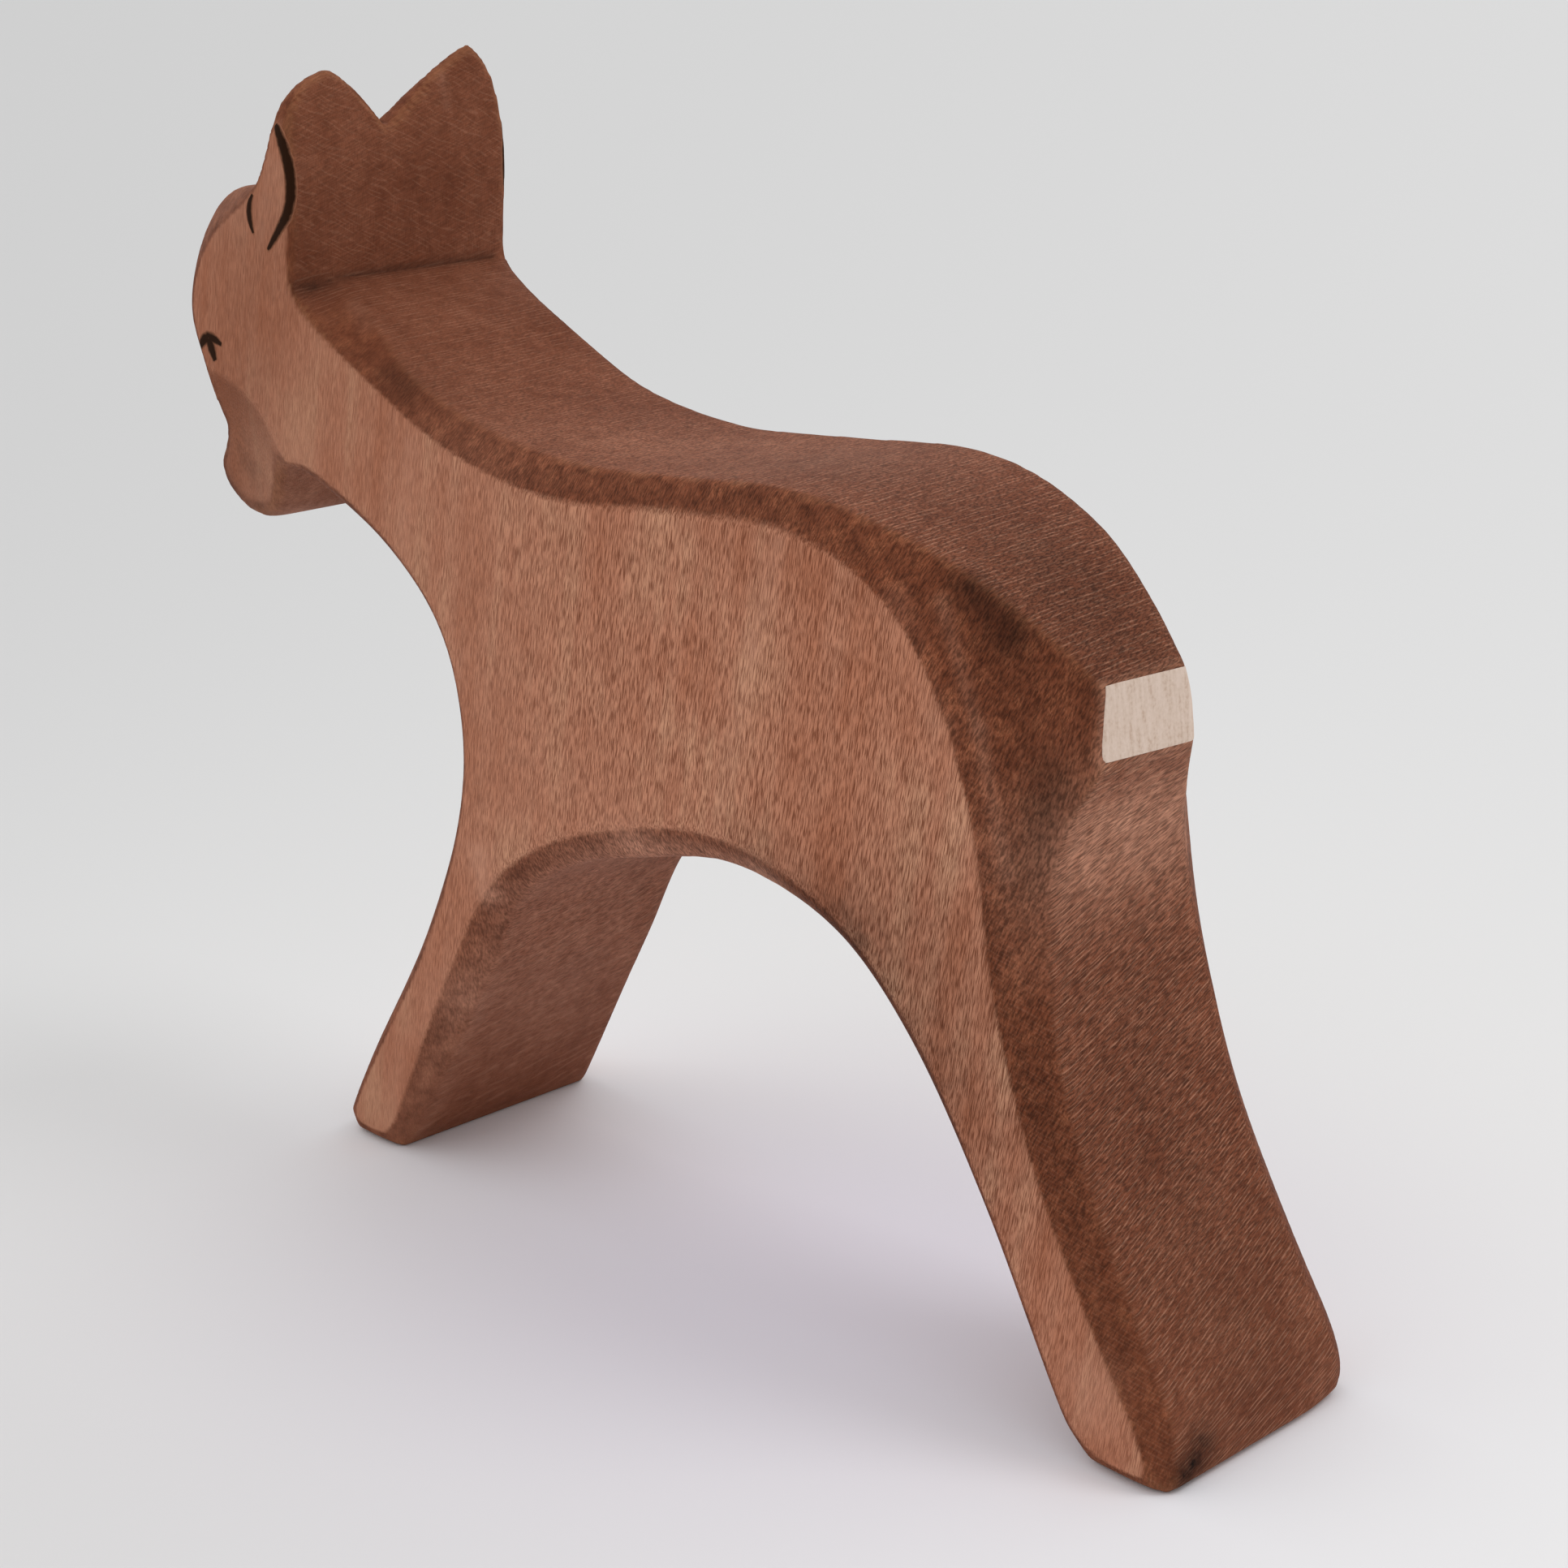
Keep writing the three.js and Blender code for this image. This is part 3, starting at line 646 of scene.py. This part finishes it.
def stained_maple():
    """Fine-pored hardwood, rubbed with brown stain after carving.

    The planed sides took little of it and show pores and growth layers up the plank. The knife cuts and
    sawn edges lie across the grain, so they soaked up more and are dark; the saw and the knife raised
    pale fibres on them.
    """
    material, tree = new_material("stained_maple")
    mm = in_mm(tree)
    worked = {
        name: add(tree, "ShaderNodeAttribute", attribute_name=name).outputs["Fac"]
        for name in ("knife_cut", "sawn", "hollow", "ridge", "pale", "deep", "torn")
    }
    run, noise = {}, {}
    for name, (turns, sizes, detail, roughness) in WOOD_PATTERNS.items():
        run[name] = add(tree, "ShaderNodeMapping", {
            "Vector": mm, "Rotation": [math.radians(turn) for turn in turns], "Scale": sizes,
        }, vector_type="TEXTURE")
        noise[name] = add(tree, "ShaderNodeTexNoise", {
            "Vector": run[name], "Scale": 1, "Detail": detail, "Roughness": roughness})
    layers, broad, fine = (noise[name] for name in ("growth_layers", "broad_blotches", "fine_blotches"))

    # Grain: pale strands and dark pores dive slightly into the plank, so that they come out as dashes on
    # its sides and slant on the knife cuts
    fibres = add(tree, "ShaderNodeMapRange", {
        "Value": noise["strands"], "From Min": STRAND_FROM, "From Max": STRAND_FULL})
    cell = add(tree, "ShaderNodeTexVoronoi", {"Vector": run["strands"], "Scale": PORES_TO_STRAND})
    pores = add(tree, "ShaderNodeMapRange", {
        "Value": cell, "From Min": PORE_FROM, "From Max": PORE_FULL}, interpolation_type="SMOOTHSTEP")
    # Grit where end grain was cut: torn fibre ends, drawn out across the plank by the saw and up the
    # plank by the knife
    ends = add(tree, "ShaderNodeMix", {
        "Factor": worked["sawn"], "A": noise["torn_by_knife"], "B": noise["torn_by_saw"]})
    grit = add(tree, "ShaderNodeMapRange", {
        "Value": ends, "From Min": GRIT_DARKEST, "From Max": GRIT_PALEST,
        "To Min": -GRIT_DEPTH, "To Max": GRIT_DEPTH})
    lines = raised_fibres(tree, mm)

    side_grain = add(tree, "ShaderNodeMix", {"Factor": SIDE_BLOTCHES, "A": layers, "B": broad})
    edge_grain = add(tree, "ShaderNodeMix", {"Factor": EDGE_BLOTCHES, "A": broad, "B": fine})
    side = add(tree, "ShaderNodeValToRGB", {"Fac": side_grain}, SIDE_COLOURS)
    knife = add(tree, "ShaderNodeValToRGB", {"Fac": fine}, KNIFE_COLOURS)
    edge = add(tree, "ShaderNodeValToRGB", {"Fac": edge_grain}, EDGE_COLOURS)
    colour = add(tree, "ShaderNodeMix", {
        "Factor": worked["knife_cut"], "A": side, "B": knife}, data_type="RGBA")
    colour = add(tree, "ShaderNodeMix", {
        "Factor": worked["sawn"], "A": colour, "B": edge}, data_type="RGBA")
    # Dark strands between the pale ones, fainter where the wood is smooth, and pale zones of thin stain and
    # painted light in fine patches
    between = add(tree, "ShaderNodeMath", {0: 1, 1: fibres}, operation="SUBTRACT")
    dark = add(tree, "ShaderNodeMix", {"Factor": worked["torn"], "A": SMOOTH_SHADE, "B": between})
    patchy = add(tree, "ShaderNodeMath", {0: fine, 1: NOISE_TO_ONE}, operation="MULTIPLY")
    pale = add(tree, "ShaderNodeMath", {0: worked["pale"], 1: patchy}, operation="MULTIPLY")
    for mask, strength, stain in (
            (dark, 0.85, "#733D26"), (pores, 0.2, "#522817"), (pale, 1, "#D0997F"),
            # Arrises lighter: partly rubbed wear, partly a painted highlight along the edge
            (worked["ridge"], 0.35, "#AD7553"), (lines, 1, "#BA876D"),
            # Hollows go nearly black: painted shade in the creases
            (worked["hollow"], 0.85, "#2E170E")):
        share = add(tree, "ShaderNodeMath", {0: mask, 1: strength}, operation="MULTIPLY", use_clamp=True)
        colour = add(tree, "ShaderNodeMix", {
            "Factor": share, "A": colour, "B": linear(stain)}, data_type="RGBA")

    # Deeper stain and painted shade in its zones, and uneven light on the torn cuts
    deepened = add(tree, "ShaderNodeMath", {0: worked["deep"], 1: patchy}, operation="MULTIPLY")
    toned = add(tree, "ShaderNodeMath", {0: 1, 1: deepened}, operation="SUBTRACT")
    uneven = add(tree, "ShaderNodeMath", {0: worked["knife_cut"], 1: worked["torn"]}, operation="MULTIPLY")
    rough = add(tree, "ShaderNodeMath", {0: uneven, 1: grit, 2: 1}, operation="MULTIPLY_ADD")
    level = add(tree, "ShaderNodeMath", {0: toned, 1: rough}, operation="MULTIPLY")
    shade = add(tree, "ShaderNodeVectorMath", {0: colour, "Scale": level}, operation="SCALE")

    # Strands stand up, raised fibres higher still, and pores lie deep
    relief = add(tree, "ShaderNodeMath", {0: pores, 1: -1, 2: fibres}, operation="MULTIPLY_ADD")
    height = add(tree, "ShaderNodeMath", {
        0: lines, 1: RAISED_HEIGHT, 2: relief}, operation="MULTIPLY_ADD")
    bump = add(tree, "ShaderNodeBump", {"Height": height, "Strength": 0.5, "Distance": WOOD_RELIEF * MM})
    shader = add(tree, "ShaderNodeBsdfPrincipled", {
        "Base Color": shade, "Roughness": 0.65, "IOR": 1.45, "Specular IOR Level": 0.08, "Normal": bump})
    add(tree, "ShaderNodeOutputMaterial", {"Surface": shader})
    return material


def brushed_ink():
    """Dark brown matt paint put on with a fine brush: it thins and lets the wood through at its edge."""
    material, tree = new_material("dark_paint")
    cover = add(tree, "ShaderNodeAttribute", attribute_name="cover").outputs["Fac"]
    uneven = add(tree, "ShaderNodeTexNoise", {"Vector": in_mm(tree), "Scale": 1 / INK_BLOTCH, "Detail": 2})
    body = add(tree, "ShaderNodeMath", {
        0: uneven, 1: INK_BLOTCH_SHARE, 2: cover}, operation="MULTIPLY_ADD")
    ink = add(tree, "ShaderNodeValToRGB", {"Fac": body}, INK_COLOURS)
    shader = add(tree, "ShaderNodeBsdfPrincipled", {
        "Base Color": ink, "Roughness": 0.7, "Specular IOR Level": 0.05})
    add(tree, "ShaderNodeOutputMaterial", {"Surface": shader})
    return material


def thin_white():
    """Off-white matt paint, thin over the upright grain: faint darker strands and pores show through."""
    material, tree = new_material("white_glaze")
    mm = in_mm(tree)
    strands = add(tree, "ShaderNodeMapping", {"Vector": mm, "Scale": GLAZE_STRANDS}, vector_type="TEXTURE")
    grain = add(tree, "ShaderNodeTexNoise", {"Vector": strands, "Scale": 1, "Detail": 3})
    specks = add(tree, "ShaderNodeTexNoise", {"Vector": mm, "Scale": 1 / GLAZE_SPECK, "Detail": 2})
    mixed = add(tree, "ShaderNodeMix", {"Factor": GLAZE_SPECK_SHARE, "A": grain, "B": specks})
    white = add(tree, "ShaderNodeValToRGB", {"Fac": mixed}, GLAZE_COLOURS)
    bump = add(tree, "ShaderNodeBump", {"Height": specks, "Strength": 0.3, "Distance": GLAZE_RELIEF * MM})
    shader = add(tree, "ShaderNodeBsdfPrincipled", {
        "Base Color": white, "Roughness": 0.75, "Specular IOR Level": 0.25, "Normal": bump})
    add(tree, "ShaderNodeOutputMaterial", {"Surface": shader})
    return material


# Stage

# Floor: half its width in mm, lines of its grid each way, and how much they crowd towards the middle
FLOOR_HALF = 6000
FLOOR_STEPS = 161
FLOOR_CROWDING = 7

# Paper: darkest and palest linear level, and the most that it may reach with the painted light beside the
# figure
PAPER_RANGE = (0.607, 0.82)
PAPER_MOST = 0.95

# Tone of the paper between the two, a painted falloff of the light: straight ahead, rise with nearness in
# mm and rise with the bearing to the right, all seen from the camera's foot, which is rounded off over a
# few cm
TONE_AHEAD = 0.26
TONE_NEAR = 55
TONE_RIGHT = 0.85
CAMERA_FOOT = 60

# Painted light that makes it paler beside the figure, thinning the shade there: strength, fade in mm, and a
# line along X between the feet by its front, its back and its middle in Y
PAINTED_LIGHT_LIFTS = [(0.24, 90, (-35, 20, 5)), (0.12, 20, (-35, 55, 5))]

# Faint lilac under the figure, painted into its shade: colour, middle and reach in mm
LILAC = "#F8F4FF"
LILAC_MIDDLE, LILAC_REACH = (15, -5), 45


def floor():
    """A sheet of matt paper, no gloss and only soft shade, greyer to the far left as painted falloff of
    light.

    The grid's lines crowd towards the middle as a hyperbolic sine. The level, a painted falloff of the
    light, rises with the bearing to the right and with nearness, both from the camera's foot, and beside
    the figure painted light lifts it by a strength times exp(-distance / fade).
    """
    t = np.linspace(-1, 1, FLOOR_STEPS)
    line = FLOOR_HALF * np.sinh(FLOOR_CROWDING * t) / np.sinh(FLOOR_CROWDING)
    x, y = np.meshgrid(line, line, indexing="ij")
    mesh = bpy.data.meshes.new("floor")
    places = np.stack([x, y, np.zeros_like(x)], axis=-1) * MM
    mesh.from_pydata(places.reshape(-1, 3), [], grid_faces(FLOOR_STEPS, FLOOR_STEPS))

    # Painted falloff of the light: greyer far away and towards the left
    turn = math.radians(CAMERA_TURN)
    east, north = x - CAMERA_PLACE[0], y - CAMERA_PLACE[1]
    right = east * math.cos(turn) + north * math.sin(turn)
    away = np.sqrt(east ** 2 + north ** 2 + CAMERA_FOOT ** 2)
    tone = np.clip(TONE_AHEAD + TONE_NEAR / away + TONE_RIGHT * right / away, 0, 1)
    darkest, palest = PAPER_RANGE
    # Painted light beside the figure, which thins the shade round it
    lift = 1
    for strength, fade, (front, back, middle) in PAINTED_LIGHT_LIFTS:
        gap = np.hypot(np.maximum(np.maximum(front - x, x - back), 0), y - middle)
        lift = lift + strength * np.exp(-gap / fade)
    store(mesh, "paper_and_light_level", np.minimum((darkest + tone * (palest - darkest)) * lift, PAPER_MOST))
    # Painted lilac tint in the shade under the figure
    from_middle = np.hypot(x - LILAC_MIDDLE[0], y - LILAC_MIDDLE[1])
    store(mesh, "lilac", np.exp(-(from_middle / LILAC_REACH) ** 2))

    material, tree = new_material("pale_paper")
    level = add(tree, "ShaderNodeAttribute", attribute_name="paper_and_light_level").outputs["Fac"]
    lilac = add(tree, "ShaderNodeAttribute", attribute_name="lilac").outputs["Fac"]
    paper = add(tree, "ShaderNodeVectorMath", {0: (1, 1, 1), "Scale": level}, operation="SCALE")
    colour = add(tree, "ShaderNodeMix", {
        "Factor": lilac, "A": paper, "B": linear(LILAC)}, data_type="RGBA", blend_type="MULTIPLY")
    shader = add(tree, "ShaderNodeBsdfDiffuse", {"Color": colour})
    add(tree, "ShaderNodeOutputMaterial", {"Surface": shader})
    mesh.materials.append(material)
    new_object("floor", mesh)


# Level of the even white surround
WORLD_LEVEL = 0.7

# Soft suns, which light the whole floor evenly: level, and in degrees the spread, the height above level
# and the bearing from +X
SUNS = {
    "key": (0.48, 28, 62, 42),
    "front_fill": (0.45, 60, 50, 200),
    "left_fill": (0.2, 60, 32, 238),
    "back_fill": (0.15, 60, 35, 110),
}


def lights():
    """An even white surround and soft suns."""
    world = bpy.data.worlds.new("studio")
    bpy.context.scene.world = world
    world.use_nodes = True
    surround = world.node_tree.nodes["Background"].inputs
    surround["Color"].default_value = (1, 1, 1, 1)
    surround["Strength"].default_value = WORLD_LEVEL
    for name, (level, spread, height, bearing) in SUNS.items():
        lamp = bpy.data.lights.new(name, "SUN")
        lamp.energy = level
        lamp.angle = math.radians(spread)
        new_object(name, lamp).rotation_euler = (0, math.radians(90 - height), math.radians(bearing))


def camera():
    """The photograph's view."""
    made = new_object("camera", bpy.data.cameras.new("camera"))
    made.data.lens = CAMERA_LENS
    made.data.clip_start = CAMERA_NEAR * MM
    made.location = [v * MM for v in CAMERA_PLACE]
    made.rotation_euler = (math.radians(90 - CAMERA_PITCH), 0, math.radians(CAMERA_TURN))
    bpy.context.scene.camera = made


camera()
floor()
lights()

body = carved_body()
dress(body, stained_maple(), "carved_body")

backward = [(1, 0, 0)] * len(RUMP_PATCH)
patch_mark = brush_mark(RUMP_PATCH, backward, PATCH_FULLNESS, PATCH_BREADTH, body)
dress(painted("white_rump_patch", [patch_mark]), thin_white(), "rump_patch")

ink = brushed_ink()
for side, word in ((-1, "left"), (1, "right")):
    for mark, strokes in MARKS.items():
        marks = [side_mark(stroke, side, body) for stroke in strokes]
        piece = painted(f"{mark}_{word}_brushed", marks)
        dress(piece, ink, f"{mark}_{word}")

bpy.context.scene.view_settings.view_transform = "Standard"
